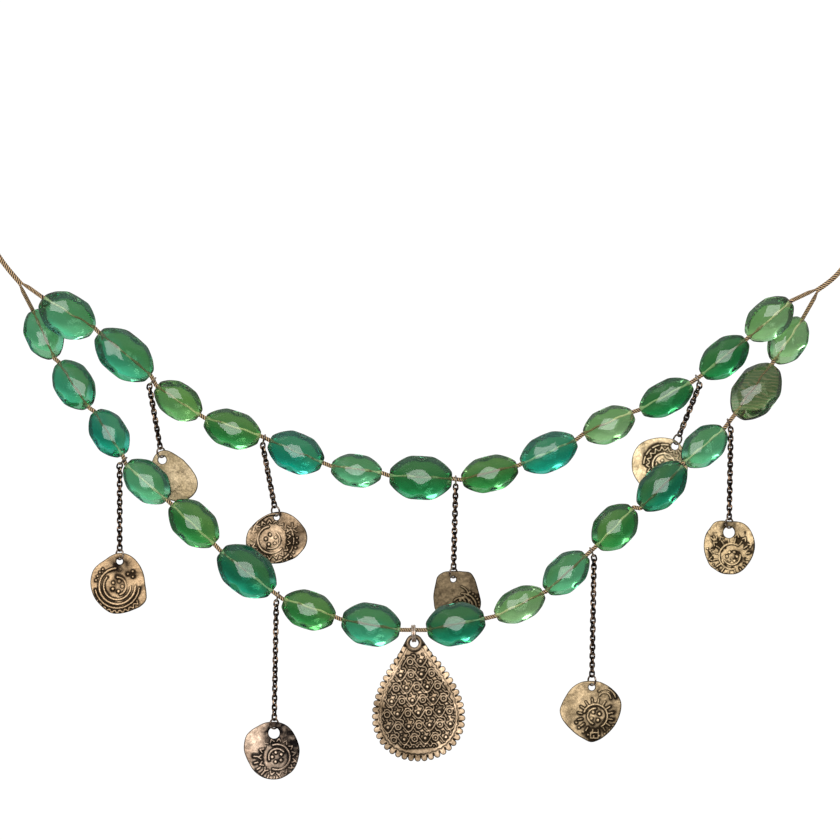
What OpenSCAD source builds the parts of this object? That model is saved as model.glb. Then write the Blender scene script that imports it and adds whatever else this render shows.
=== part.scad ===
// Two-strand necklace of faceted glass beads with coin charms and a teardrop pendant.
// Millimetres. X runs along the necklace, -Y is the front, +Z is up, and the origin is at the nape.

/* [Loop] */
// How far in front of the nape the strands hang
front_reach = 100; // [95:1:110]
// Diameter of the cord round the neck
neck_cord_d = 1.4; // [1.2:0.1:1.6]
// Diameter of the thread through the beads
thread_d = 1.0; // [0.8:0.1:1.0]
// Length of the barrel clasp
clasp_length = 12; // [10:1:16]
// Diameter of the barrel clasp
clasp_d = 4.4; // [4:0.2:5]

/* [Beads] */
// Thickness of a bead front to back, as a share of its width
bead_flatness = 0.7; // [0.6:0.05:0.7]
// Diameter of the hole drilled through each bead
bead_bore_d = 1.3; // [1.25:0.05:1.4]
// Width of the cut end of a bead, as a share of its full width
bead_end_share = 0.3; // [0.28:0.01:0.34]

/* [Chains] */
// Radius of a chain link's round ends to the middle of its wire
link_r = 0.6; // [0.58:0.01:0.62]
// Length of a chain link's straight sides
link_straight = 0.5; // [0.46:0.02:0.54]
// Radius of a chain link's wire
link_wire = 0.2; // [0.16:0.01:0.2]
// Radius of the ring that holds a chain on the thread
top_ring_r = 1.25; // [1.2:0.05:1.3]
// Radius of the ring that holds a coin on its chain
coin_ring_r = 1.3; // [1.25:0.05:1.35]
// Radius of the jump rings' wire
ring_wire = 0.18; // [0.16:0.01:0.18]
// Clear space left between loose rings
play = 0.1; // [0.1:0.01:0.12]
// Clear space left between a ring and the thread or plate it hangs on
seat_play = 0.12; // [0.12:0.01:0.15]

/* [Coins] */
// Thickness of a coin
coin_t = 0.9; // [0.7:0.1:0.9]
// Height of the ornament raised on a coin
coin_relief = 0.25; // [0.2:0.05:0.3]

/* [Pendant] */
// Width of the teardrop without its scallops
pendant_w = 21.8; // [20:0.1:22]
// Height of the teardrop without its scallops
pendant_h = 29.4; // [29:0.1:31]
// Thickness of the pendant
pendant_t = 0.9; // [0.7:0.1:0.9]
// Number of scallops round the edge
scallops = 47; // [40:1:50]
// Radius of one scallop
scallop_r = 0.75; // [0.6:0.05:0.8]
// Height of the pendant's border and ornament
pendant_relief = 0.3; // [0.2:0.05:0.3]
// Radius of the bail to the middle of its wire
bail_r = 1.9; // [1.85:0.05:1.95]
// Radius of the bail's wire
bail_wire = 0.3; // [0.25:0.05:0.3]
// Slant of the pendant towards the right, in degrees
pendant_lean = 3.4; // [0:0.1:4]

/* [Hidden] */

// One row for each bead, left to right: the middle [x, z] of its bore, its fall to the right in
// degrees, its length and width, its roll about the bore, and how far its body lies below the bore
BX = 0;
BZ = 1;
B_FALL = 2;
B_LEN = 3;
B_WIDE = 4;
B_ROLL = 5;
B_SAG = 6;
inner_beads = [
    [-87.4, -98.0, 31, 14.6, 10.4, 4, 1.1],
    [-73.8, -108.5, 40, 16.4, 10.5, -6, 0.3],
    [-60.5, -120.1, 34, 12.8, 8.6, 8, 0.1],
    [-46.9, -126.8, 18, 14.4, 9.0, -3, 0.5],
    [-31.0, -132.9, 23, 14.4, 9.6, 5, 0.3],
    [-15.9, -137.4, 8, 12.7, 7.9, -8, 0.3],
    [0.2, -139.3, 3, 15.7, 10.6, 2, 0.2],
    [17.4, -138.2, -14, 14.3, 8.6, -5, 0.3],
    [32.2, -133.0, -24, 14.8, 9.1, 7, 0.2],
    [47.2, -125.8, -24, 13.3, 8.4, -4, 0.5],
    [61.4, -118.9, -28, 14.3, 8.1, 3, 0.6],
    [76.0, -109.3, -39, 13.8, 8.7, -7, 0.1],
    [87.2, -99.9, -41, 13.4, 9.1, 5, -0.1],
];
outer_beads = [
    [-94.4, -103.5, 65, 12.9, 8.9, -4, 0],
    [-86.6, -116.2, 56, 13.2, 9.3, 6, 0],
    [-77.8, -128.4, 57, 12.8, 8.6, -7, -0.2],
    [-68.2, -140.5, 41, 13.4, 9.1, 3, -0.2],
    [-56.6, -151.0, 43, 14.4, 9.6, -5, -0.3],
    [-43.2, -162.7, 38, 16.2, 11.0, 4, 0],
    [-27.6, -171.9, 19, 13.5, 9.1, -8, 0.5],
    [-12.2, -176.0, 10, 14.7, 10.2, 2, 0],
    [8.9, -175.9, -11, 14.7, 10.2, -3, 0],
    [24.8, -170.9, -26, 13.2, 8.0, 7, 0.1],
    [36.5, -163.2, -42, 13.3, 8.6, -5, -0.1],
    [48.5, -151.7, -46, 13.1, 9.6, 4, 0.1],
    [60.4, -141.6, -45, 14.8, 9.4, -6, -0.1],
    [70.8, -131.4, -40, 13.0, 8.7, 3, 0.2],
    [83.4, -117.4, -53, 15.5, 10.6, -4, 0.8],
    [92.2, -105.0, -55, 12.7, 8.9, 6, 0.1],
];

// Where the two threads of each side meet the neck cord, and the neck cord's route from there to
// the nape, as [x, y forward of the strands' plane, z]. The last point of a route lies in the clasp.
left_route = [
    [-99.6, 0, -91.2],
    [-105, 0, -84.5],
    [-112, 5, -73],
    [-117, 16, -58],
    [-119, 31, -43],
    [-118, 47, -29],
    [-113.5, 63, -16.5],
    [-101, 78, -8],
    [-80, 90, -4],
    [-54, 97, -1.8],
    [-28, 100, -0.4],
    [-10, 100, 0],
    [-3.5, 100, 0],
];
right_route = [
    [99.0, 0, -92.8],
    [105, 0, -87.8],
    [112.5, 5, -76.5],
    [117.5, 16, -61],
    [119.5, 31, -45],
    [118.5, 47, -30],
    [114, 63, -17],
    [101, 78, -8.2],
    [80, 90, -4],
    [54, 97, -1.8],
    [28, 100, -0.4],
    [10, 100, 0],
    [3.5, 100, 0],
];

// One row for each drop: the strand it hangs from, the bead on its left, how far it is slid along
// the thread, the slant of its top ring, the slant to the right and the length of its chain, and
// the radius of its coin's hole
D_STRAND = 0;
D_AFTER = 1;
D_SLIDE = 2;
D_RING_LEAN = 3;
D_LEAN = 4;
D_LENGTH = 5;
D_HOLE = 6;
INNER = 0;
OUTER = 1;
drops = [
    [INNER, 2, -0.1, 40, 10, 15.0, 1.0],
    [INNER, 4, -0.2, 16, 11, 15.0, 0.7],
    [INNER, 7, -0.3, 0, -1.5, 19.8, 0.7],
    [INNER, 11, 0.2, -25, -22, 12.9, 0.9],
    [OUTER, 3, 0, 45, 0, 20.4, 0.8],
    [OUTER, 6, 0, 15, -1, 28.4, 1.4],
    [OUTER, 11, 0, -25, -1, 28.8, 0.8],
    [OUTER, 14, -0.3, -20, -1, 21.6, 1.4],
];

// Outline of each coin: its middle [x, z] from its hole, and its reach from there at even steps,
// from the right round by the top
coin_middle = [
    [2.8, -4.2], [-0.1, -5.3], [0.9, -4.2], [-3.7, -4.7],
    [-0.2, -5.7], [-0.5, -4.3], [-0.2, -5.7], [0, -3.6]
];
coin_reach = [
    [5.7, 5.1, 4.8, 4.7, 4.9, 5.2, 5.9, 6.9, 7.3, 7, 6.3, 5.7,
     5.3, 4.9, 4.9, 5.1, 5.2, 5.8, 6.1, 6.7, 6.7, 6.8, 6.7, 6.3],
    [7.8, 7.7, 7.3, 7.1, 7, 6.9, 6.7, 6.5, 6.4, 6.5, 6.8, 7.3,
     7.6, 7.8, 7.9, 7.4, 6.9, 6.5, 6.3, 6.3, 6.4, 6.8, 7.1, 7.6],
    [5.8, 5.6, 5.8, 6.3, 6.8, 6.4, 6.3, 6.5, 6.9, 6.9, 6.2, 5.9,
     5.9, 6, 6.4, 6.6, 6.6, 6.2, 6.1, 6.2, 6.4, 6.8, 6.7, 6.3],
    [6.9, 6.9, 7, 7.2, 7.3, 7, 6.9, 6.9, 7.1, 7.3, 7.3, 7.2,
     7.1, 7.1, 7, 7, 7, 6.9, 7.2, 7.1, 7.5, 7.4, 7.3, 7.1],
    [6.6, 6.6, 6.8, 7.1, 7.5, 7.8, 7.8, 7.4, 7, 7.1, 7.3, 7.2,
     7.1, 7, 7, 7, 7.2, 7.5, 7.4, 7.3, 7.4, 7.8, 7.9, 7.1],
    [6.9, 6.8, 6.8, 7, 7.2, 7.2, 7.1, 7.1, 7, 7.2, 7.4, 7.2,
     7, 6.7, 6.6, 6.8, 7, 7.2, 7.3, 7.4, 7.3, 7.3, 7.1, 6.9],
    [7.5, 7.8, 7.7, 7.5, 7.4, 7.4, 7.3, 7.4, 7.4, 7.3, 7.2, 7.4,
     7.8, 7.6, 7.2, 7, 7.1, 7.4, 8, 7.7, 7.3, 7.1, 7.1, 7.2],
    [6.5, 6.6, 6.7, 6.9, 6.9, 6.6, 6.4, 6.8, 7.1, 6.7, 6.6, 6.4,
     6.3, 6.3, 6.4, 6.7, 6.7, 6.9, 6.9, 7, 6.8, 6.5, 6.4, 6.4],
];

// Ornament of each coin: its middle [x, z] from the hole, its radius, the turn of its open arcs
// and the number of dots inside them
coin_ornament = [
    [3.0, -5.2, 2.8, 40, 3],
    [-1.4, -5.6, 3.6, 100, 5],
    [1.6, -6.2, 2.6, 200, 3],
    [-2.8, -4.6, 3.0, 20, 4],
    [-0.6, -6.2, 3.6, 140, 5],
    [0.8, -6.0, 3.4, 250, 5],
    [0.9, -7.2, 3.2, 300, 4],
    [0.7, -6.0, 3.4, 60, 6],
];

strand_y = -front_reach;
thread_r = thread_d / 2;
neck_r = neck_cord_d / 2;
neck_sides = 8;
round_fn = 48;

// Depth of each strand. The inner strand passes in front at its ends and behind in the middle,
// and the outer strand does the opposite, so that the drops of the inner strand hang behind it.
inner_front = -4.6;
inner_back = 4.5;
inner_bend_from = 40;
outer_front = -4;
outer_back = 3.8;
outer_bend_from = 60;
ends_at = 92;

function inner_depth(x) =
    inner_back + (inner_front - inner_back)
    * pow(max(0, abs(x) - inner_bend_from) / (ends_at - inner_bend_from), 2);
function outer_depth(x) =
    outer_front + (outer_back - outer_front)
    * pow(max(0, abs(x) - outer_bend_from) / (ends_at - outer_bend_from), 2);
function depth(strand, x) = strand_y + (strand == INNER ? inner_depth(x) : outer_depth(x));
function beads_of(strand) = strand == INNER ? inner_beads : outer_beads;

// The two ends of a bead's axis
function bead_tip(strand, row, side) =
    let (x = row[BX] + side * row[B_LEN] / 2 * cos(row[B_FALL]),
         z = row[BZ] - side * row[B_LEN] / 2 * sin(row[B_FALL]))
    [x, depth(strand, x), z];
function unit(v) = v / norm(v);

// The thread runs straight through each bead and a little past both of its ends
past_end = 0.3;
function thread_through(strand) =
    [for (row = beads_of(strand))
        let (a = bead_tip(strand, row, -1), b = bead_tip(strand, row, 1), t = unit(b - a))
        each [a - past_end * t, b + past_end * t]];

// Where a drop hangs on its thread: the middle of the gap after a bead, slid along it
function gap_start(strand, after) = bead_tip(strand, beads_of(strand)[after - 1], 1);
function gap_end(strand, after) = bead_tip(strand, beads_of(strand)[after], -1);
function hang_point(strand, after, slide) =
    let (a = gap_start(strand, after), b = gap_end(strand, after))
    (a + b) / 2 + slide * unit(b - a);
function gap_fall(strand, after) =
    let (a = gap_start(strand, after), b = gap_end(strand, after))
    atan2(a[2] - b[2], b[0] - a[0]);

// A smooth curve through the points of a route, with a few steps between each two
function spline_point(p0, p1, p2, p3, t) =
    0.5 * (2 * p1 + (p2 - p0) * t + (2 * p0 - 5 * p1 + 4 * p2 - p3) * t * t
           + (3 * p1 - p0 - 3 * p2 + p3) * t * t * t);
function smooth_route(route, steps) =
    let (last = len(route) - 1)
    concat([for (i = [0:last - 1]) for (k = [0:steps - 1])
                spline_point(route[max(0, i - 1)], route[i], route[i + 1],
                             route[min(last, i + 2)], k / steps)],
           [route[last]]);

// A round tube along a list of points, each with its own radius
module tube_along(points, radii, sides, guide) {
    last = len(points) - 1;
    rings = [for (i = [0:last])
        let (t = unit(points[min(last, i + 1)] - points[max(0, i - 1)]),
             u = unit(cross(t, guide)),
             v = cross(t, u))
        for (k = [0:sides - 1])
            points[i] + radii[i] * (cos(360 * k / sides) * u + sin(360 * k / sides) * v)];
    walls = [for (i = [0:last - 1]) for (k = [0:sides - 1]) for (half = [0, 1])
        let (a = i * sides + k,
             b = i * sides + (k + 1) % sides)
        half == 0 ? [a, a + sides, b + sides] : [a, b + sides, b]];
    start = [for (k = [0:sides - 1]) k];
    finish = [for (k = [sides - 1:-1:0]) last * sides + k];
    polyhedron(rings, concat(walls, [start], [finish]), convexity = 10);
}

// Each thread leaves the neck cord as a thin ply beside the other thread, then swells to full size
ply_share = 0.48;
ply_lead = 0.4;
ply_length = 2.5;
join_gap = 0.2;

function route_start(route, offset) =
    let (t = unit(route[0] - route[1]), across = unit(cross(t, [0, 1, 0])))
    route[0] + [0, strand_y, 0] + join_gap * t + offset * across;

function ply_points(route, offset, tip) =
    let (from = route_start(route, offset),
         t = unit(route[0] - route[1]))
    [from, from + ply_lead * t, from + ply_length * unit(tip - from)];

module strand_thread(strand, side) {
    tips = thread_through(strand);
    ply_r = ply_share * neck_r;
    offset = neck_r - ply_r + play / 2;
    left = ply_points(left_route, side * offset, tips[0]);
    right = ply_points(right_route, -side * offset, tips[len(tips) - 1]);
    points = concat(left, tips, [right[2], right[1], right[0]]);
    radii = concat([ply_r, ply_r], [for (i = [0:len(tips) + 1]) thread_r], [ply_r, ply_r]);
    tube_along(points, radii, neck_sides, [0, 1, 0]);
}

module inner_thread() {
    color("#a87b45") strand_thread(INNER, 1);
}

module outer_thread() {
    color("#a87b45") strand_thread(OUTER, -1);
}

route_steps = 3;

module neck_cord(route, guide) {
    curve = [for (p = smooth_route(route, route_steps)) p + [0, strand_y, 0]];
    color("#7b5630") tube_along(curve, [for (p = curve) neck_r], neck_sides, guide);
}

module neck_cord_left() {
    neck_cord(left_route, [0.5, -0.5, 0.7]);
}

module neck_cord_right() {
    neck_cord(right_route, [-0.5, -0.5, 0.7]);
}

// A plain barrel with a socket in each end for the neck cord
socket_depth = 3;
socket_play = 0.15;
past_mouth = 0.5;
barrel_cap = 0.6;

module clasp() {
    color("#8d8272")
    rotate([0, 90, 0])
    difference() {
        union() {
            cylinder(h = clasp_length - 2 * barrel_cap, d = clasp_d, center = true, $fn = round_fn);
            cylinder(h = clasp_length, d = clasp_d - 2 * barrel_cap, center = true, $fn = round_fn);
        }
        for (side = [-1, 1])
            translate([0, 0, side * (clasp_length - socket_depth + past_mouth) / 2])
                cylinder(h = socket_depth + past_mouth, r = neck_r + socket_play, center = true,
                         $fn = round_fn);
    }
}

// A faceted bead along X. Its rings of eight points are turned by half a step from one to the next,
// so that eight flat lozenge tables run round the middle.
facets = 8;
half_step = 180 / facets;
ring_at = [-1, -0.78, -0.42, 0, 0.42, 0.78, 1];

function bead_ring_scale(i) =
    let (flat = cos(half_step))
    [bead_end_share, 0.72, 1, 1 / flat, 1, 0.72, bead_end_share][i];
function bead_ring_turn(i) = i % 2 == 0 ? 0 : half_step;

module faceted_bead(length, wide, sag) {
    thick = bead_flatness * wide;
    last = len(ring_at) - 1;
    points = [for (i = [0:last]) for (k = [0:facets - 1])
        let (a = 2 * half_step * k + bead_ring_turn(i), s = bead_ring_scale(i))
        [ring_at[i] * length / 2, s * thick / 2 * cos(a), s * wide / 2 * sin(a) - sag]];
    middle = (last / 2) * facets;
    tables = [for (k = [0:facets - 1])
        [middle - facets + (k + 1) % facets, middle + k,
         middle + facets + (k + 1) % facets, middle + (k + 1) % facets]];
    sides = [for (i = [0:last - 1]) for (k = [0:facets - 1])
        let (n = (k + 1) % facets,
             a = i * facets + k,
             b = i * facets + n,
             c = (i + 1) * facets + k,
             d = (i + 1) * facets + n)
        each (i % 2 == 0 ? [[a, b, c], [b, d, c]] : [[a, d, c], [a, b, d]])];
    rim = [for (f = sides)
        if (!((f[0] >= middle && f[0] < middle + facets ? 1 : 0)
              + (f[1] >= middle && f[1] < middle + facets ? 1 : 0)
              + (f[2] >= middle && f[2] < middle + facets ? 1 : 0) == 2)) f];
    start = [for (k = [facets - 1:-1:0]) k];
    finish = [for (k = [0:facets - 1]) last * facets + k];
    difference() {
        polyhedron(points, concat(tables, rim, [start], [finish]), convexity = 4);
        rotate([0, 90, 0]) cylinder(h = 2 * length, d = bead_bore_d, center = true, $fn = round_fn);
    }
}

module bead(strand, number) {
    row = beads_of(strand)[number - 1];
    a = bead_tip(strand, row, -1);
    b = bead_tip(strand, row, 1);
    span = norm(b - a);
    translate((a + b) / 2)
        rotate([0, row[B_FALL], 0])
        rotate([row[B_ROLL], 0, asin((b[1] - a[1]) / span)])
        faceted_bead(span, row[B_WIDE], row[B_SAG]);
}

glass = ["#7fae8c", "#2f8a63", "#1f7d6b", "#176f4c"];

module inner_bead(number) {
    color(glass[number % len(glass)]) bead(INNER, number);
}

module outer_bead(number) {
    color(glass[(number + 1) % len(glass)]) bead(OUTER, number);
}

// A ring lying in the XZ plane, or turned edge on to the front
module ring(r, wire, edge_on) {
    rotate([90, 0, edge_on ? 90 : 0])
        rotate_extrude($fn = round_fn) translate([r, 0]) circle(r = wire, $fn = 24);
}

// A long link: two half rings joined by straight sides
module link(edge_on) {
    rotate([90, 0, edge_on ? 90 : 0]) {
        for (half = [0, 1])
            rotate([0, 0, 180 * half])
            translate([0, link_straight / 2, 0])
            rotate_extrude(angle = 180, $fn = round_fn)
            translate([link_r, 0]) circle(r = link_wire, $fn = 24);
        for (side = [-1, 1])
            translate([side * link_r, 0, 0])
            rotate([90, 0, 0]) cylinder(h = link_straight, r = link_wire, center = true, $fn = 24);
    }
}

// Steps down a drop, each measured along its chain from the wire of the top ring
link_reach = link_straight / 2 + link_r - link_wire;
link_pitch_max = 2 * link_reach - play;
first_link = link_reach - ring_wire - play;
to_coin_ring = link_reach + coin_ring_r - ring_wire - play;
hole_top = sqrt(pow(coin_ring_r - ring_wire - play, 2) - pow(coin_t / 2, 2));

function link_count(drop) = 2 * ceil(drop[D_LENGTH] / link_pitch_max / 2) + 1;
function link_pitch(drop) = drop[D_LENGTH] / (link_count(drop) - 1);
function coin_ring_at(drop) = first_link + drop[D_LENGTH] + to_coin_ring;
function coin_hole_at(drop) = coin_ring_at(drop) + hole_top + drop[D_HOLE];

// The top ring leans with the thread, and it hangs so that it just clears the thread
function ring_drop(drop) =
    let (skew = gap_fall(drop[D_STRAND], drop[D_AFTER]) - drop[D_RING_LEAN])
    top_ring_r - (ring_wire + thread_r + seat_play) / cos(skew);

module at_thread(drop) {
    translate(hang_point(drop[D_STRAND], drop[D_AFTER], drop[D_SLIDE])) children();
}

module at_ring(drop) {
    at_thread(drop)
        rotate([0, drop[D_RING_LEAN], 0])
        translate([0, 0, -ring_drop(drop)])
        children();
}

module at_chain_top(drop) {
    at_ring(drop)
        translate([0, 0, -top_ring_r])
        rotate([0, -drop[D_RING_LEAN] - drop[D_LEAN], 0])
        children();
}

module chain(number) {
    drop = drops[number - 1];
    color("#4a3a2b") {
        at_ring(drop) ring(top_ring_r, ring_wire, true);
        at_chain_top(drop) {
            for (i = [0:link_count(drop) - 1])
                translate([0, 0, -first_link - i * link_pitch(drop)]) link(i % 2 == 1);
            translate([0, 0, -coin_ring_at(drop)]) ring(coin_ring_r, ring_wire, true);
        }
    }
}

// Raised ornament of a coin: two open arcs, one inside the other, round a ring of dots
arc_w = 0.45;
dot_r = 0.4;
sink = 0.2;
outer_arc = 220;
inner_arc = 160;
inner_arc_turn = 150;
inner_arc_share = 0.68;
dot_ring_share = 0.36;

module raised_arc(r, from, angle) {
    rotate([0, 0, from])
        rotate_extrude(angle = angle, $fn = round_fn)
        translate([r - arc_w / 2, 0]) square([arc_w, coin_relief + sink]);
}

module ornament(r, turn, dots) {
    raised_arc(r, turn, outer_arc);
    raised_arc(inner_arc_share * r, turn + inner_arc_turn, inner_arc);
    for (k = [0:dots - 1])
        rotate([0, 0, turn + 360 * k / dots])
            translate([dot_ring_share * r, 0, 0]) cylinder(h = coin_relief + sink, r = dot_r, $fn = 24);
}

coin_steps = 3;

function coin_corner(number, i) =
    let (reach = coin_reach[number - 1], k = (i + len(reach)) % len(reach), a = 360 * k / len(reach))
    coin_middle[number - 1] + reach[k] * [cos(a), sin(a)];
function coin_outline(number) =
    [for (i = [0:len(coin_reach[number - 1]) - 1]) for (k = [0:coin_steps - 1])
        spline_point(coin_corner(number, i - 1), coin_corner(number, i), coin_corner(number, i + 1),
                     coin_corner(number, i + 2), k / coin_steps)];

module coin(number) {
    drop = drops[number - 1];
    mark = coin_ornament[number - 1];
    color("#9a8a74")
    at_chain_top(drop)
    translate([0, 0, -coin_hole_at(drop)])
    rotate([0, drop[D_LEAN], 0])
    rotate([90, 0, 0])
    difference() {
        union() {
            translate([0, 0, -coin_t / 2]) linear_extrude(coin_t) polygon(coin_outline(number));
            translate([mark[0], mark[1], coin_t / 2 - sink]) ornament(mark[2], mark[3], mark[4]);
        }
        cylinder(h = 4 * coin_t, r = drop[D_HOLE], center = true, $fn = round_fn);
    }
}

// The teardrop outline, from its tip round to its tip again, measured from the middle of its height
tip_blunt = 0.85;
tip_fill = 0.794;
function teardrop(t, grow) =
    let (w = pendant_w / 2 / tip_fill + grow, h = pendant_h / 2 + grow)
    [w * sin(t) * pow(sin(t / 2), tip_blunt), h * cos(t)];
outline_steps = 72;
function outline(grow) = [for (i = [0:outline_steps - 1]) teardrop(360 * i / outline_steps, grow)];

// Length along the outline up to each of its points, to space the scallops evenly
fine_steps = 240;
fine = [for (i = [0:fine_steps]) teardrop(360 * i / fine_steps, 0)];
run = [for (i = 0, s = 0; i <= fine_steps;
            s = i < fine_steps ? s + norm(fine[i + 1] - fine[i]) : s, i = i + 1) s];
function along_outline(s) =
    let (i = max([for (k = [0:fine_steps - 1]) run[k] <= s ? k : 0]))
    fine[i] + (fine[i + 1] - fine[i]) * (s - run[i]) / (run[i + 1] - run[i]);

outer_gap = 8;
hinge = hang_point(OUTER, outer_gap, 0);
bail_turns = 0.28;
bail_hole_r = 1.05;
bail_play = 0.15;
bail_drop = bail_r - bail_wire - thread_r - bail_play;
bail_bottom = bail_drop + bail_r;
bail_rise = bail_r - sqrt(pow(bail_r, 2) - pow(pendant_t / 2, 2));
hole_z = bail_rise - bail_bottom - sqrt(pow(bail_hole_r - bail_wire - seat_play, 2) - pow(bail_turns, 2));
eye_r = 2.2;
tip_above_hole = 0.6;
pendant_mid_z = hole_z + tip_above_hole - pendant_h / 2;

module bail() {
    color("#a89878")
    translate(hinge)
    rotate([0, -pendant_lean, 0])
    for (side = [-1, 1])
        translate([side * bail_turns, 0, -bail_drop]) ring(bail_r, bail_wire, true);
}

// Rows of raised rings and dots across the teardrop, as many in a row as its width takes
rows = 7;
row_pitch = 3.2;
row_from = 5.2;
motif_pitch = 2.6;
motif_r = 0.85;
motif_w = 0.35;
border_inset = 1.5;
border_w = 0.4;

function half_width(z) =
    max([for (p = fine) abs(p[1] - z) < 0.5 ? p[0] : 0]);

module pendant_rows() {
    for (row = [0:rows - 1]) {
        z = pendant_h / 2 - row_from - row * row_pitch;
        room = half_width(z) - border_inset - border_w - motif_r;
        count = max(0, floor(2 * room / motif_pitch));
        for (k = [0:count])
            translate([(k - count / 2) * motif_pitch, z, 0])
                if ((k + row) % 2 == 0)
                    difference() {
                        cylinder(h = pendant_relief + sink, r = motif_r, $fn = 24);
                        translate([0, 0, sink]) cylinder(h = 1, r = motif_r - motif_w, $fn = 24);
                    }
                else
                    cylinder(h = pendant_relief + sink, r = motif_r / 2, $fn = 24);
    }
}

module pendant() {
    color("#9c8f78")
    translate(hinge)
    rotate([0, -pendant_lean, 0])
    translate([0, 0, pendant_mid_z])
    rotate([90, 0, 0])
    difference() {
        union() {
            translate([0, 0, -pendant_t / 2]) linear_extrude(pendant_t) hull() {
                polygon(outline(0));
                translate([0, hole_z - pendant_mid_z]) circle(r = eye_r, $fn = round_fn);
            }
            for (k = [1:scallops - 1]) {
                p = along_outline(run[fine_steps] * k / scallops);
                translate([p[0], p[1], -pendant_t / 2]) cylinder(h = pendant_t, r = scallop_r, $fn = 24);
            }
            translate([0, 0, pendant_t / 2 - sink]) {
                linear_extrude(pendant_relief + sink) difference() {
                    polygon(outline(-border_inset));
                    polygon(outline(-border_inset - border_w));
                }
                pendant_rows();
            }
        }
        translate([0, hole_z - pendant_mid_z, 0])
            cylinder(h = 4 * pendant_t, r = bail_hole_r, center = true, $fn = round_fn);
    }
}

for (i = [1:len(inner_beads)])
    inner_bead(i);
for (i = [1:len(outer_beads)])
    outer_bead(i);
for (i = [1:len(drops)])
    chain(i);
for (i = [1:len(drops)])
    coin(i);
inner_thread();
outer_thread();
neck_cord_left();
neck_cord_right();
clasp();
bail();
pendant();
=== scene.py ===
"""Looks of the charm necklace: glass beads, twisted cord, dark chains, worn coins and the pendant.

Lengths in the helpers are in millimetres, in the frame of the part: X to the right, -Y to the
front, Z up, origin at the nape. MM turns them into metres when a mesh is made. The camera, the
lights and the floor are placed in metres.
"""

import math

import bmesh
import bpy
import numpy as np
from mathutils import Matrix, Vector, geometry


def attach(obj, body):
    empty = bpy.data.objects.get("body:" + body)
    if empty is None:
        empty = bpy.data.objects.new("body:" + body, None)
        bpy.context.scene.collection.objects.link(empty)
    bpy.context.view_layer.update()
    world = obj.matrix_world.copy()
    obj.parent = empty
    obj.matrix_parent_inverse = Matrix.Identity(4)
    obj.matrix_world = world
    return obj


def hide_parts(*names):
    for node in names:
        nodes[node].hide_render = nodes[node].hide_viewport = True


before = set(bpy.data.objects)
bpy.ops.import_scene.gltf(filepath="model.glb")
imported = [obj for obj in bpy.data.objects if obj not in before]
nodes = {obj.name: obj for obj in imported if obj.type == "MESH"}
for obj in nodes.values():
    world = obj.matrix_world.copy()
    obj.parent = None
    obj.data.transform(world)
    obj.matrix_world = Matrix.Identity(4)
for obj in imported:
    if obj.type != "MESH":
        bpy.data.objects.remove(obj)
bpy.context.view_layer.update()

MM = 0.001
NECKLACE = "necklace"
PENDANT = "hanging_pendant"

# Node trees


class Tree:
    """A few short calls to build a node tree."""

    def __init__(self, nt):
        self.nt = nt

    def add(self, kind, **inputs):
        n = self.nt.nodes.new("ShaderNode" + kind)
        for key, value in inputs.items():
            self.put(n.inputs[key.replace("_", " ")], value)
        return n

    def put(self, socket, value):
        if isinstance(value, bpy.types.NodeSocket):
            self.nt.links.new(value, socket)
        else:
            socket.default_value = value

    def spread(self, value, low, high, to_low=0.0, to_high=1.0):
        """A smooth step of a value from low to high."""
        n = self.add("MapRange", Value=value, From_Min=low, From_Max=high, To_Min=to_low, To_Max=to_high)
        n.interpolation_type = "SMOOTHSTEP"
        return n.outputs[0]

    def math(self, op, a, b=0.5):
        n = self.add("Math")
        n.operation = op
        self.put(n.inputs[0], a)
        self.put(n.inputs[1], b)
        return n.outputs[0]


class Material(Tree):
    """A material built round its Principled BSDF."""

    def __init__(self, name):
        self.mat = bpy.data.materials.new(name)
        self.mat.use_nodes = True
        super().__init__(self.mat.node_tree)
        self.p = self.nt.nodes["Principled BSDF"]

    def coord(self):
        return self.add("TexCoord").outputs["Object"]

    def noise(self, scale, detail=3.0):
        return self.add("TexNoise", Scale=scale, Detail=detail, Roughness=0.55,
                        Vector=self.coord()).outputs["Fac"]

    def mix(self, fac, a, b):
        n = self.add("Mix")
        n.data_type = "RGBA"
        self.put(n.inputs["Factor"], fac)
        for socket, value in ((n.inputs[6], a), (n.inputs[7], b)):
            self.put(socket, value if isinstance(value, bpy.types.NodeSocket) else (*value, 1))
        return n.outputs[2]

    def attribute(self, name):
        n = self.add("Attribute")
        n.attribute_name = name
        return n.outputs["Fac"]

    def bump(self, height, strength, distance):
        n = self.add("Bump", Height=height, Strength=strength, Distance=distance)
        self.put(self.p.inputs["Normal"], n.outputs[0])

    def surface(self, **inputs):
        for key, value in inputs.items():
            if isinstance(value, tuple) and len(value) == 3:
                value = (*value, 1)
            self.put(self.p.inputs[key.replace("_", " ")], value)


# Camera, light and ground

STRANDS_Y = -0.100
CAMERA_Y = -1.6
# Width and middle height of what the camera sees at the strands
VIEW_WIDTH = 0.210
VIEW_MIDDLE_Z = -0.125
SENSOR_MM = 36.0
FLOOR_Z = -0.36
FLOOR_RADIUS = 1.2
# Strength of the studio's light: white for the camera, dim from all sides, from behind and above
# for bent rays, and from above for every ray
CAMERA_WHITE = 1.05
SIDE_LIGHT = 0.15
BEHIND_BENT = 0.70
ABOVE_BENT = 0.5525
ABOVE_ALL = 0.30
# How far a ray has to point back or up for that light to begin, and to be full
BACK_FADE = (0.1, 0.85)
UP_FADE = (0.1, 0.7)


def new_object(name, data):
    obj = bpy.data.objects.new(name, data)
    bpy.context.scene.collection.objects.link(obj)
    return obj


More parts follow.
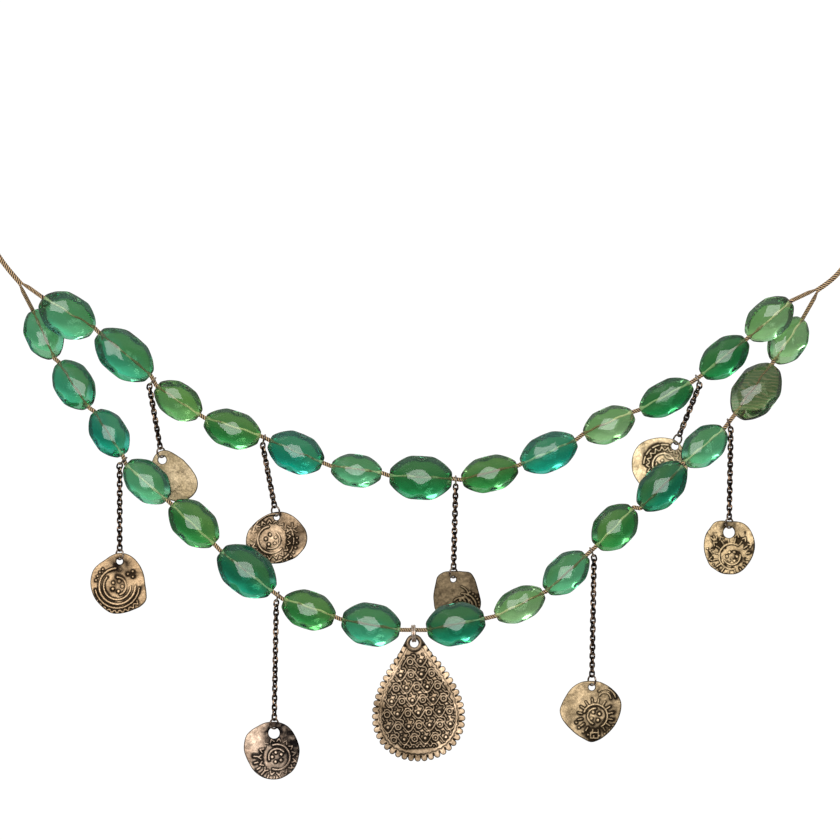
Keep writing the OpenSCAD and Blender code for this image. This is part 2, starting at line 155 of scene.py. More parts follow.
def make_camera():
    data = bpy.data.cameras.new("camera")
    data.sensor_width = SENSOR_MM
    data.lens = SENSOR_MM * (STRANDS_Y - CAMERA_Y) / VIEW_WIDTH
    camera = new_object("camera", data)
    camera.location = (0, CAMERA_Y, VIEW_MIDDLE_Z)
    camera.rotation_euler = (math.radians(90), 0, 0)
    bpy.context.scene.camera = camera


def make_light(name, location, target, size, power, glossy=True):
    data = bpy.data.lights.new(name, "AREA")
    data.shape = "RECTANGLE"
    data.size, data.size_y = size
    data.energy = power
    lamp = new_object(name, data)
    lamp.location = location
    lamp.rotation_euler = (Vector(target) - Vector(location)).to_track_quat("-Z", "Y").to_euler()
    lamp.visible_camera = False
    lamp.visible_glossy = glossy


def make_world():
    """White behind the object for the camera. Bent rays find it white behind and above, reflected
    rays only pale above, and both find it dim at the sides, below and in front."""
    world = bpy.data.worlds.new("studio")
    bpy.context.scene.world = world
    world.use_nodes = True
    world.node_tree.nodes.clear()
    w = Tree(world.node_tree)
    split = w.add("SeparateXYZ", Vector=w.add("TexCoord").outputs["Generated"])
    back, up = split.outputs["Y"], split.outputs["Z"]
    ray = w.add("LightPath")
    not_glossy = w.math("SUBTRACT", 1.0, ray.outputs["Is Glossy Ray"])
    bent = w.math("MAXIMUM", ray.outputs["Is Transmission Ray"], not_glossy)
    for_bent = w.math("ADD", w.spread(back, *BACK_FADE, 0.0, BEHIND_BENT),
                      w.spread(up, *UP_FADE, 0.0, ABOVE_BENT))
    for_all = w.math("ADD", w.spread(up, *UP_FADE, 0.0, ABOVE_ALL), SIDE_LIGHT)
    level = w.math("ADD", w.math("MULTIPLY", for_bent, bent), for_all)
    soft = w.add("Background", Color=(1, 1, 1, 1), Strength=level)
    white = w.add("Background", Color=(1, 1, 1, 1), Strength=CAMERA_WHITE)
    mix = w.add("MixShader")
    w.put(mix.inputs[0], ray.outputs["Is Camera Ray"])
    w.put(mix.inputs[1], soft.outputs[0])
    w.put(mix.inputs[2], white.outputs[0])
    w.add("OutputWorld", Surface=mix.outputs[0])


def make_floor():
    mesh = bpy.data.meshes.new("floor")
    turns = np.linspace(0, 2 * math.pi, 96, endpoint=False)
    ring = [(FLOOR_RADIUS * math.cos(a), FLOOR_RADIUS * math.sin(a), FLOOR_Z) for a in turns]
    mesh.from_pydata(ring, [], [list(range(len(ring)))])
    white = Material("floor_white")
    white.surface(Base_Color=(0.86, 0.86, 0.86), Roughness=0.9)
    mesh.materials.append(white.mat)
    floor = new_object("floor", mesh)
    floor.visible_transmission = False
    floor.visible_glossy = False


make_camera()
make_world()
make_floor()
make_light("front_softbox", location=(-0.25, -2.2, 0.15), target=(0, -0.1, -0.125),
           size=(1.7, 1.5), power=31)
make_light("top_softbox", location=(-0.6, -0.75, 0.75), target=(0, -0.1, -0.12),
           size=(0.5, 0.4), power=4, glossy=False)
bpy.context.scene.view_settings.view_transform = "Standard"
bpy.context.scene.view_settings.look = "None"
bpy.context.scene.cycles.use_denoising = True

# Materials

# Glass tints: the grey-green of a bead's upper half, the clear colour of its lower half and the
# bright colour of its lower edge. The duller top and the bright edge are painted light from above
TINTS = {
    "pale": ((0.142, 0.345, 0.100), (0.158, 0.315, 0.128), (0.16, 0.56, 0.26)),
    "fern": ((0.115, 0.300, 0.060), (0.088, 0.265, 0.076), (0.07, 0.47, 0.15)),
    "grass": ((0.080, 0.232, 0.046), (0.013, 0.160, 0.028), (0.02, 0.38, 0.12)),
    "sea": ((0.067, 0.265, 0.088), (0.070, 0.315, 0.142), (0.04, 0.56, 0.34)),
    "mid": ((0.052, 0.232, 0.070), (0.030, 0.275, 0.138), (0.02, 0.49, 0.31)),
    "teal": ((0.035, 0.250, 0.115), (0.0005, 0.190, 0.110), (0.005, 0.48, 0.40)),
    "emerald": ((0.032, 0.160, 0.046), (0.0005, 0.130, 0.060), (0.005, 0.38, 0.26)),
    "deep": ((0.034, 0.175, 0.042), (0.004, 0.137, 0.030), (0.01, 0.34, 0.14)),
    "moss": ((0.055, 0.120, 0.034), (0.060, 0.115, 0.035), (0.05, 0.16, 0.06)),
}
# Painted shade at a bead's rim, in place of the dim sides that the glass would bend into view
RIM_PAINTED_SHADE = (0.003, 0.04, 0.021)
MOSS_LINE = (0.32, 0.27, 0.14)
# Share of the tint that the front of a bead takes, where 1 is half of it
FRONT_TINT = 0.62
GLASS_IOR = 1.6
INNER_TINTS = "sea mid fern grass teal sea deep grass teal pale deep deep pale".split()
OUTER_TINTS = ("sea mid teal sea grass emerald grass mid "
               "emerald pale sea grass emerald sea moss pale").split()


def glass(tint):
    """Clear glass, tinted from a duller grey-green top to a bright lower edge of the bead, which is
    painted light from above, and with painted shade at its rim. The back of a bead is tinted more
    than its front, so that its bore shows pale. The attribute 'tall' is the height in the bead,
    from -1 to 1, and 'deep' the depth, from the front, in mm."""
    m = Material("glass_" + tint)
    top, low, edge = TINTS[tint]
    cloud = m.math("MULTIPLY", m.math("SUBTRACT", m.noise(210.0)), 0.7)
    height = m.math("ADD", m.attribute("tall"), cloud)
    # Painted light: the tint goes from a duller top down to a bright lower edge, as light from above
    # would make it
    body = m.mix(m.spread(height, -0.35, 0.4), low, top)
    colour = m.mix(m.spread(height, -0.95, -0.5), edge, body)
    if tint == "moss":
        lines = m.add("TexWave", Scale=420.0, Distortion=3.5, Detail=3.0,
                      Detail_Scale=1.2, Vector=m.coord())
        lines.bands_direction = "Z"
        colour = m.mix(m.spread(lines.outputs["Fac"], 0.5, 0.95, 0.0, 0.5), colour, MOSS_LINE)
    # Painted shade: where the surface turns away from the view, the rim is darkened
    facing = m.add("LayerWeight", Blend=0.3).outputs["Facing"]
    colour = m.mix(m.spread(facing, 0.50, 0.82, 0.0, 0.95), colour, RIM_PAINTED_SHADE)
    depth = m.spread(m.attribute("deep"), -0.8, 0.8, FRONT_TINT, 2 - FRONT_TINT)
    tinted = m.add("Gamma", Color=colour, Gamma=depth)
    m.surface(Base_Color=tinted.outputs[0], Roughness=0.08, IOR=GLASS_IOR, Transmission_Weight=1.0)
    return m.mat


def bore_wall():
    """The rough wall of a bead's hole, pale in some beads and brown from its thread in others."""
    m = Material("bore_wall")
    grain = m.math("MULTIPLY", m.math("SUBTRACT", m.noise(900.0)), 0.35)
    clean = m.spread(m.math("ADD", m.noise(62.0, 1.0), grain), 0.42, 0.56)
    m.surface(Base_Color=m.mix(clean, (0.24, 0.15, 0.075), (0.72, 0.62, 0.42)), Roughness=0.8)
    return m.mat


def metal(name, pale, mid, dark, rough=0.4, scale=260.0):
    """Worn metal: pale on what is raised, dark in the hollows, with blotches and fine grain.
    The attribute 'relief' is 0 in a hollow and 1 on a ridge; the other attribute darkens what is old and
    where shade is painted."""
    m = Material(name)
    blotch = m.spread(m.noise(scale), 0.3, 0.72)
    base = m.mix(blotch, mid, pale)
    relief = m.attribute("relief")
    base = m.mix(m.spread(relief, 0.0, 0.36), m.mix(0.97, base, dark), base)
    base = m.mix(m.spread(relief, 0.5, 0.95, 0.0, 0.75), base, pale)
    patches = m.spread(m.noise(scale * 2.3), 0.15, 0.6, 0.6, 1.0)
    # Patina and painted shade: darker where the plate's second attribute says
    base = m.mix(m.math("MULTIPLY", m.attribute("patina_and_shade"), patches), base, dark)
    m.surface(Base_Color=base, Metallic=0.97,
              Roughness=m.spread(m.noise(scale * 9, 4.0), 0.3, 0.7, rough - 0.08, rough + 0.12))
    m.bump(m.noise(scale * 3, 5.0), 0.35, 0.00012)
    return m.mat


def plain_metal(name, pale, dark, rough, scale):
    """Metal in two tones of blotches, with a fine grain."""
    m = Material(name)
    blotch = m.spread(m.noise(scale), 0.38, 0.68)
    m.surface(Base_Color=m.mix(blotch, dark, pale), Metallic=0.85,
              Roughness=m.spread(m.noise(scale * 2.0), 0.3, 0.7, rough - 0.06, rough + 0.12))
    m.bump(m.noise(scale * 3, 4.0), 0.25, 0.00005)
    return m.mat


def cord_material():
    """Tan plies with painted shade in the grooves between them; where a bead hides the thread,
    its core is painted near white, a painted reflection of the bore.
    """
    m = Material("twisted_cord")
    crest = m.spread(m.attribute("crest"), 0.70, 0.95)
    fibre = m.noise(2600.0, 3.0)
    tan = m.mix(m.spread(fibre, 0.3, 0.7), (0.44, 0.26, 0.115), (0.84, 0.57, 0.29))
    # Painted shade: away from the crests of the plies, in the grooves between them, the cord is near
    # black
    colour = m.mix(crest, (0.014, 0.006, 0.003), tan)
    # Painted reflection: where a bead hides the thread, its core is near white, to show as the bore's
    # bright line
    colour = m.mix(m.attribute("core"), colour, (0.95, 0.92, 0.74))
    m.surface(Base_Color=colour, Roughness=0.6, Sheen_Weight=0.2, Sheen_Roughness=0.4)
    m.bump(fibre, 0.4, 0.00006)
    return m.mat


# Meshes


def unit(v):
    return v / np.linalg.norm(v)


def smooth(x):
    """A smooth step of a value that goes from 0 to 1."""
    return x * x * (3 - 2 * x)


def run_along(points):
    """How far along a polyline each of its points is."""
    return np.concatenate([[0], np.cumsum(np.linalg.norm(np.diff(points, axis=0), axis=1))])


def points_at(points, at):
    """The points of a polyline at some distances along it."""
    run = run_along(points)
    return np.stack([np.interp(at, run, column) for column in points.T], axis=1)


def tube_faces(count, sides, closed, base=0):
    """Quads from ring to ring of a tube, and from its last ring to its first where it is closed."""
    faces = []
    for i in range(count if closed else count - 1):
        a, b = base + i * sides, base + (i + 1) % count * sides
        faces += [(a + k, a + (k + 1) % sides, b + (k + 1) % sides, b + k) for k in range(sides)]
    return faces


def make_piece(name, points, faces, mat, body, replaced, attributes):
    """A smooth mesh from points in mm, with its attributes at the points, that rides on a body in
    the place of some CAD nodes."""
    mesh = bpy.data.meshes.new(name)
    mesh.from_pydata([tuple(p) for p in np.asarray(points, float) * MM], [], [list(f) for f in faces])
    mesh.validate()
    obj = new_object(name, mesh)
    mesh.materials.append(mat)
    mesh.polygons.foreach_set("use_smooth", [True] * len(mesh.polygons))
    for key, values in attributes.items():
        layer = mesh.attributes.new(key, "FLOAT", "POINT")
        layer.data.foreach_set("value", np.asarray(values, np.float32))
    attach(obj, body)
    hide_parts(*replaced)
    return obj


def cad_points(node):
    """The points of a CAD node, in mm."""
    co = np.empty(len(nodes[node].data.vertices) * 3, np.float32)
    nodes[node].data.vertices.foreach_get("co", co)
    return co.reshape(-1, 3).astype(float) / MM


def place_numbers(co):
    """A number for each point, the same for all points at one place."""
    _, ids = np.unique(co.round(3), axis=0, return_inverse=True)
    return ids.ravel()


# Beads

# How much a bead grows upright, and its ends upright and in depth, to make up for rounded edges
BEAD_SWELL = 1.035
BEAD_END_SWELL = 1.28
# Share of a bead's half length from which a point counts as one of its end
END_SHARE = 0.95
# Facets whose planes differ by less than this, in degrees, are one facet
SAME_FACET = 2.0
# How sharply a bead's facets meet
FACET_SHARPNESS = 55.0
BEAD_RINGS = 58
BEAD_SIDES = 64
# Angle from a bead's tips to its first and last ring
FIRST_RING = 0.14
BEAD_HALF_HEIGHT = 4.8
# How flat a bead's cut end is, and how far from its middle the bore's mouth may reach
END_FLATNESS = 0.02
MOUTH_REACH = 0.9
# Rings of the bore: how far in from the mouth, and radius
BORE_RINGS = ((0.0, 0.6), (0.7, 0.42), (1.7, 0.21))


def bead_frame(node):
    """The axes of a bead (along, back and upright), its middle, and its points in that frame."""
    co = cad_points(node)
    vectors = np.linalg.eigh(np.cov((co - co.mean(0)).T))[1]
    along = vectors[:, 2] * np.sign(vectors[0, 2])
    across = unit(np.cross(along, [0, -1, 0]))
    if across[2] < 0:
        across = -across
    front = np.cross(along, across)
    axes = np.array([along, -front if front[1] < 0 else front, across])
    local = co @ axes.T
    middle = (local.max(0) + local.min(0)) / 2
    return axes, middle @ axes, local - middle


def bead_ends(node):
    """The two mouths of a bead's bore, from the points on its flat ends, in its own frame."""
    _, _, local = bead_frame(node)
    ends = []
    for side in (-1, 1):
        reach = (local[:, 0] * side).max()
        cap = local[local[:, 0] * side > reach - END_FLATNESS]
        hub = np.median(cap[:, 1:], axis=0)
        ends.append(cap[np.linalg.norm(cap[:, 1:] - hub, axis=1) < MOUTH_REACH].mean(0))
    return ends


def bore_tips(node):
    """The two mouths of a bead's bore, in the frame of the part."""
    axes, middle, _ = bead_frame(node)
    return [middle + end @ axes for end in bead_ends(node)]


def facet_planes(local):
    """The planes of a bead's facets and flat ends, as normals and distances."""
    reach = np.abs(local[:, 0]).max()
    at_end = np.abs(local[:, 0]) > END_SHARE * reach
    swell = np.where(at_end, BEAD_END_SWELL, BEAD_SWELL)
    local = local * np.stack([np.ones(len(local)), np.where(at_end, swell, 1), swell], axis=1)
    bm = bmesh.new()
    for p in np.unique(local.round(4), axis=0):
        bm.verts.new(p)
    hull = bmesh.ops.convex_hull(bm, input=bm.verts)
    spare = [g for g in set(hull["geom_interior"] + hull["geom_unused"])
             if isinstance(g, bmesh.types.BMVert)]
    bmesh.ops.delete(bm, geom=spare, context="VERTS")
    bmesh.ops.dissolve_limit(bm, angle_limit=math.radians(SAME_FACET), verts=bm.verts, edges=bm.edges)
    bm.normal_update()
    planes = [(list(f.normal), f.normal.dot(f.calc_center_median())) for f in bm.faces]
    bm.free()
    return np.array([n for n, _ in planes]), np.array([d for _, d in planes])


def make_bead(name, node, mat, bore_mat):
    """The facets of the bead's solid with softly rounded edges, drilled along the same bore."""
    axes, middle, local = bead_frame(node)
    a, b = bead_ends(node)
    normals, reach = facet_planes(local)
    core = (a + b) / 2
    reach = reach - normals @ core
    half = np.abs(local).max(0)
    tilt = (b - a) / (b[0] - a[0])
    phi = np.linspace(FIRST_RING, math.pi - FIRST_RING, BEAD_RINGS)
    theta = 2 * math.pi * np.arange(BEAD_SIDES) / BEAD_SIDES
    round_section = np.stack([np.zeros(BEAD_SIDES), np.cos(theta), np.sin(theta)], axis=1)
    outside = []
    for f in phi:
        d = -half[0] * math.cos(f) * tilt + math.sin(f) * half * round_section
        pull = (np.maximum(d @ normals.T / reach, 0) ** FACET_SHARPNESS).sum(1)
        pull = pull ** (-1 / FACET_SHARPNESS)
        outside.append(core + d * pull[:, None])
    left = [(outside[0][:, 0].mean() + depth, r) for depth, r in BORE_RINGS]
    right = [(outside[-1][:, 0].mean() - depth, r) for depth, r in BORE_RINGS]
    bore = [core + tilt * (x - core[0]) + r * round_section for x, r in left + right[::-1]]
    rings = outside + bore[::-1]
    faces = tube_faces(len(rings), BEAD_SIDES, closed=True)
    local = np.concatenate(rings)
    obj = make_piece(name, middle + local @ axes, faces, mat, NECKLACE, [node],
                     attributes={"tall": local[:, 2] / BEAD_HALF_HEIGHT, "deep": local[:, 1]})
    obj.data.materials.append(bore_mat)
    which = np.arange(len(faces)) // BEAD_SIDES
    in_bore = (which >= BEAD_RINGS) & (which < len(rings) - 1)
    obj.data.polygons.foreach_set("material_index", in_bore.astype(int))
    bm = bmesh.new()
    bm.from_mesh(obj.data)
    bmesh.ops.recalc_face_normals(bm, faces=bm.faces)
    bm.to_mesh(obj.data)
    bm.free()
    obj.visible_shadow = False


glasses = {tint: glass(tint) for tint in TINTS}
drilled = bore_wall()
for strand, tints in (("inner", INNER_TINTS), ("outer", OUTER_TINTS)):
    for i, tint in enumerate(tints, 1):
        make_bead(f"{strand}_glass_{i}", f"{strand}_bead_{i}", glasses[tint], drilled)

# Cords

# The route of each neck cord from where its strands join to the clasp. Y counts from the strands
LEFT_ROUTE = [
    (-99.6, 0, -91.2), (-105, 0, -84.5), (-112, 5, -73), (-117, 16, -58), (-119, 31, -43),
    (-118, 47, -29), (-113.5, 63, -16.5), (-101, 78, -8), (-80, 90, -4), (-54, 97, -1.8),
    (-28, 100, -0.4), (-10, 100, 0), (-3.5, 100, 0),
]
RIGHT_ROUTE = [
    (99.0, 0, -92.8), (105, 0, -87.8), (112.5, 5, -76.5), (117.5, 16, -61), (119.5, 31, -45),
    (118.5, 47, -30), (114, 63, -17), (101, 78, -8.2), (80, 90, -4), (54, 97, -1.8),
    (28, 100, -0.4), (10, 100, 0), (3.5, 100, 0),
]
ROUTE_STEPS = 16
NECK_R = 0.64
THREAD_R = 0.55
# Plies, pitch, sides of the mesh, and step along the cord
NECK_TWIST = (4, 2.5, 20)
NECK_STEP = 0.16
THREAD_TWIST = (3, 1.7, 12)
THREAD_STEP = 0.17
# Radius in the valley between two plies, as a share of the cord's own
PLY_VALLEY = 0.84
# A thread leaves the neck cord as a ply: its share of that cord's radius, how far it stands out
# past it, the length over which it thins, how far it laps into the cord and how far it runs straight
PLY_SHARE = 0.48
PLY_OUT = 0.05
PLY_LENGTH = 2.5
JOIN_LAP = 0.4
JOIN_STRAIGHT = 0.4
# In a bead the thread thins to its core: where it starts to, where it has, and the core's radius
THIN_FROM = 0.4
CORE_FROM = 1.6
IN_BEAD_R = 0.12
# How far outside a bead's mouth the thread runs straight
PAST_MOUTH = 0.3
# A direction that no cord starts along
OFF_PATH = (0.3, 0.9, 0.2)


def smooth_route(route):
    """A smooth curve through a cord's route."""
    pts = np.array(route, float)
    last = len(pts) - 1
    out = []
    for i in range(last):
        p0, p1, p2, p3 = pts[max(0, i - 1)], pts[i], pts[i + 1], pts[min(last, i + 2)]
        for k in range(ROUTE_STEPS):
            t = k / ROUTE_STEPS
            out.append(0.5 * (2 * p1 + (p2 - p0) * t + (2 * p0 - 5 * p1 + 4 * p2 - p3) * t * t
                              + (3 * p1 - p0 - 3 * p2 + p3) * t ** 3))
    out.append(pts[last])
    return np.array(out) + [0, STRANDS_Y / MM, 0]


def resample(points, step):
    """Points along a polyline, a step apart, and how far along it each of them is."""
    length = run_along(points)[-1]
    at = np.linspace(0, length, max(2, int(round(length / step)) + 1))
    return points_at(points, at), at


def twisted(points, at, radii, plies, pitch, sides):
    """A cord of twisted plies round a path, closed at both ends, and how near to the crest of a
    ply each of its points is."""
    n = len(points)
    tangent = np.gradient(points, axis=0)
    tangent /= np.linalg.norm(tangent, axis=1)[:, None]
    guide = unit(np.cross(tangent[0], OFF_PATH))
    phi = 2 * math.pi * np.arange(sides) / sides
    rings, crest = [], []
    for i in range(n):
        guide = unit(guide - tangent[i] * np.dot(guide, tangent[i]))
        side = np.cross(tangent[i], guide)
        turn = 2 * math.pi * at[i] / pitch
        lobe = np.abs(np.cos(plies * (phi - turn) / 2))
        r = radii[i] * (PLY_VALLEY + (1 - PLY_VALLEY) * np.sqrt(lobe))
        out = np.cos(phi)[:, None] * guide + np.sin(phi)[:, None] * side
        rings.append(points[i] + r[:, None] * out)
        crest.append(lobe)
    faces = tube_faces(n, sides, closed=False)
    faces.append(tuple(range(sides - 1, -1, -1)))
    faces.append(tuple((n - 1) * sides + k for k in range(sides)))
    return np.concatenate(rings), faces, np.concatenate(crest)


cord_mat = cord_material()
for name, route in (("neck_cord_left", LEFT_ROUTE), ("neck_cord_right", RIGHT_ROUTE)):
    path, at = resample(smooth_route(route), NECK_STEP)
    pts, faces, crest = twisted(path, at, np.full(len(path), NECK_R), *NECK_TWIST)
    make_piece(name + "_twist", pts, faces, cord_mat, NECKLACE, [name],
               attributes={"crest": crest})


def strand_path(strand, count, side):
    """The thread's path, its radius, and 1 where a bead hides it and it is drawn in."""
    ply_r = PLY_SHARE * NECK_R
    offset = NECK_R - ply_r + PLY_OUT
    starts = []
    for route, sign in ((LEFT_ROUTE, side), (RIGHT_ROUTE, -side)):
        a, b = np.array(route[0], float), np.array(route[1], float)
        t = unit(a - b)
        across = unit(np.cross(t, [0, 1, 0]))
        starts.append((a + [0, STRANDS_Y / MM, 0] - JOIN_LAP * t + sign * offset * across, t))
    beads = [bore_tips(f"{strand}_bead_{i}") for i in range(1, count + 1)]
    ends = []
    for (start, t), mouth in zip(starts, (beads[0][0], beads[-1][1])):
        ends.append([(start, ply_r, 0), (start + JOIN_STRAIGHT * t, ply_r, 0),
                     (start + PLY_LENGTH * unit(mouth - start), THREAD_R, 0)])
    knots = ends[0]
    for a, b in beads:
        t = unit(b - a)
        knots += [(a - PAST_MOUTH * t, THREAD_R, 0), (a + THIN_FROM * t, THREAD_R, 0),
                  (a + CORE_FROM * t, IN_BEAD_R, 1), (b - CORE_FROM * t, IN_BEAD_R, 1),
                  (b - THIN_FROM * t, THREAD_R, 0), (b + PAST_MOUTH * t, THREAD_R, 0)]
    knots += ends[1][::-1]
    return [np.array(column, float) for column in zip(*knots)]


for strand, count, side in (("inner", 13, 1), ("outer", 16, -1)):
    knots, radii, core = strand_path(strand, count, side)
    run = run_along(knots)
    path, at = resample(knots, THREAD_STEP)
    pts, faces, crest = twisted(path, at, np.interp(at, run, radii), *THREAD_TWIST)
    hidden = np.repeat(np.interp(at, run, core), THREAD_TWIST[2])
    make_piece(strand + "_thread_twist", pts, faces, cord_mat, NECKLACE, [strand + "_thread"],
               attributes={"crest": crest, "core": hidden})

# Chains

LINK_WIRE = 0.235
RING_WIRE = 0.23
RING_EXTRA_TURN = 22
# Most that one link is turned more or less than its chain, in degrees
LINK_WOBBLE = 7
# A link is a ring where it is longer than wide by less than this
ROUND_WITHIN = 0.2
LINK_STEPS = 13
WIRE_SIDES = 10
# How far the links of each chain are turned about it, in degrees
CHAIN_TURNS = (27, -30, 24, 32, -26, 29, -24, 28)


def link_points(node):
    """The points of each separate link of a chain's solid, from the top down."""
    mesh = nodes[node].data
    co = cad_points(node)
    ids = place_numbers(co)
    edges = np.empty(2 * len(mesh.edges), np.int32)
    mesh.edges.foreach_get("vertices", edges)
    a, b = ids[edges.reshape(-1, 2)].T
    label = np.arange(ids.max() + 1)
    while True:
        low = label.copy()
        np.minimum.at(low, a, label[b])
        np.minimum.at(low, b, label[a])
        low = low[low]
        if (low == label).all():
            break
        label = low
    label = label[ids]
    return sorted((co[label == k] for k in np.unique(label)), key=lambda p: -p[:, 2].mean())


def make_chain(number, mat, ring_mat):
    """The links of the chain's solid, in heavier wire and turned about the chain. Its first link
    goes round the thread and isn't turned, and its last one goes through the coin."""
    node = f"chain_{number}"
    links = link_points(node)
    middles = np.array([(p.max(0) + p.min(0)) / 2 for p in links])
    down = np.gradient(middles, axis=0)
    wobble = np.random.RandomState(number).uniform(-LINK_WOBBLE, LINK_WOBBLE, len(links))
    half_turn = np.linspace(-math.pi / 2, math.pi / 2, LINK_STEPS)
    a = np.concatenate([half_turn, half_turn + math.pi])
    ends = np.repeat([1, -1], LINK_STEPS)
    n = 2 * LINK_STEPS
    t = 2 * math.pi * np.arange(WIRE_SIDES) / WIRE_SIDES
    points, faces, wear_and_highlight = [], [], []
    for i, (p, middle) in enumerate(zip(links, middles)):
        normal = np.linalg.eigh(np.cov((p - p.mean(0)).T))[1][:, 0]
        along = unit(down[i] - normal * np.dot(down[i], normal))
        across = np.cross(normal, along)
        length, width = (np.ptp(p @ axis) for axis in (along, across))
        is_ring = length - width < ROUND_WITHIN
        wire = RING_WIRE if is_ring else LINK_WIRE
        turn = CHAIN_TURNS[number - 1]
        extra = RING_EXTRA_TURN * np.sign(turn) if is_ring else wobble[i]
        turn = 0 if i == 0 else math.radians(turn + extra)
        c, s = math.cos(turn), math.sin(turn)
        across, normal = c * across + s * normal, c * normal - s * across
        bend = width / 2 - wire
        centre = (middle + np.outer(bend * np.cos(a) + ends * (length - width) / 2, along)
                  + np.outer(bend * np.sin(a), across))
        out = np.outer(np.cos(a), along) + np.outer(np.sin(a), across)
        section = np.cos(t)[:, None] * out[:, None] + np.sin(t)[:, None] * normal
        tube = centre[:, None] + wire * section
        faces += tube_faces(n, WIRE_SIDES, closed=True, base=i * n * WIRE_SIDES)
        points.append(tube.reshape(-1, 3))
        # How far out on the wire a point is, where the pale spots of painted highlight and wear go
        wear_and_highlight.append(np.tile(np.cos(t), n))
    obj = make_piece(node + "_links", np.concatenate(points), faces, mat, NECKLACE,
                     [node], attributes={"wear_and_highlight": np.concatenate(wear_and_highlight)})
    obj.data.materials.append(ring_mat)
    which = np.arange(len(faces)) // (n * WIRE_SIDES)
    is_end = (which == 0) | (which == len(links) - 1)
    obj.data.polygons.foreach_set("material_index", is_end.astype(int))


def chain_metal():
    """Near black, with pale metal in spots on the outside of a link: painted highlights, and rubbed
    metal.
    """
    m = Material("dark_chain")
    # Painted highlights and wear: pale spots, more of them on the outside of each link
    highlight_and_rubbed = m.math("ADD", m.noise(1300.0), m.math("MULTIPLY", m.attribute("wear_and_highlight"), 0.07))
    m.surface(Base_Color=m.mix(m.spread(highlight_and_rubbed, 0.53, 0.68), (0.012, 0.006, 0.004), (0.52, 0.34, 0.22)),
              Metallic=0.85, Roughness=m.spread(m.noise(1800.0), 0.3, 0.7, 0.2, 0.4))
    m.bump(m.noise(2600.0, 4.0), 0.25, 0.00005)
    return m.mat


dark_chain = chain_metal()
ring_metal = plain_metal("coin_ring", (0.74, 0.60, 0.50), (0.16, 0.105, 0.075), 0.24, 1100.0)
for number in range(1, 9):
    make_chain(number, dark_chain, ring_metal)

# Coins and pendant

# Distance between the points on a plate's front, and how much wider it is on its plain rear
PLATE_STEP = 0.15
REAR_STEPS = 3.5
# Height of a row of even triangles, as a share of their sides
ROW_SHARE = 0.866
# Least distance of an even point from the last extra row, in steps, and of an extra row's points
# from any edge, as a share of the row's own
GRID_GAP = 0.55
RIM_GAP = 0.9
# How near to a plate's rear a point counts as on it
ON_REAR = 0.005
# Radius of a coin's edge, and distances from a plate's edge of extra rows of points
EDGE_R = 0.26
RIMS = (0.05, 0.14, 0.27)
# Relief and patina of a plate's rear
REAR_RELIEF = 0.35
REAR_PATINA = 0.15


def back_loops(node):
    """Closed outlines of a plate's flat back, longest first, as (x, z) in mm."""
    mesh = nodes[node].data
    co = cad_points(node)
    back = co[:, 1].max()
    ids = place_numbers(co)
    place = {i: co[k] for k, i in enumerate(ids)}
    edges = {}
    for poly in mesh.polygons:
        vs = list(poly.vertices)
        if min(co[v, 1] for v in vs) < back - ON_REAR:
            continue
        for a, b in zip(vs, vs[1:] + vs[:1]):
            key = (ids[a], ids[b])
            if key[0] == key[1]:
                continue
            if (key[1], key[0]) in edges:
                del edges[(key[1], key[0])]
            else:
                edges[key] = True
    follow = {a: b for a, b in edges}
    loops = []
    while follow:
        start, nxt = follow.popitem()
        loop = [start]
        while nxt != start:
            loop.append(nxt)
            nxt = follow.pop(nxt)
        loops.append(np.array([place[i][[0, 2]] for i in loop]))
    return sorted(loops, key=lambda p: -np.ptp(p[:, 0])), back


def even_loop(loop, step, fewest=24):
    """A closed outline in even steps."""
    closed = np.vstack([loop, loop[:1]])
    length = run_along(closed)[-1]
    count = max(fewest, int(round(length / step)))
    return points_at(closed, np.linspace(0, length, count, endpoint=False))


def segment_distance(p, a, v):
    """Distance from each point to the nearest of some segments, which go from a to a + v."""
    w = p[:, None] - a[None]
    t = np.clip((w * v).sum(2) / np.maximum((v * v).sum(1), 1e-12), 0, 1)
    return np.linalg.norm(w - t[..., None] * v, axis=2).min(1)


def loop_distance(p, loop, at_once=64):
    """Distance from each point to a closed polyline, a few segments at a time."""
    v = np.roll(loop, -1, axis=0) - loop
    best = np.full(len(p), 1e9)
    for s in range(0, len(loop), at_once):
        best = np.minimum(best, segment_distance(p, loop[s:s + at_once], v[s:s + at_once]))
    return best


def edge_gap(p, outline, hole):
    """Distance from each point to the nearest edge of a plate with a hole."""
    return np.minimum(loop_distance(p, outline), loop_distance(p, hole))


def inside(p, loop):
    """Which of the points are inside a closed outline."""
    x, z = p[:, 0][:, None], p[:, 1][:, None]
    a, b = loop, np.roll(loop, -1, axis=0)
    cross = (a[:, 1] > z) != (b[:, 1] > z)
    rise = np.where(b[:, 1] == a[:, 1], 1e-9, b[:, 1] - a[:, 1])
    at = a[:, 0] + (z - a[:, 1]) * (b[:, 0] - a[:, 0]) / rise
    return (cross & (x < at)).sum(1) % 2 == 1


def on_plate(p, outline, hole):
    return inside(p, outline) & ~inside(p, hole)


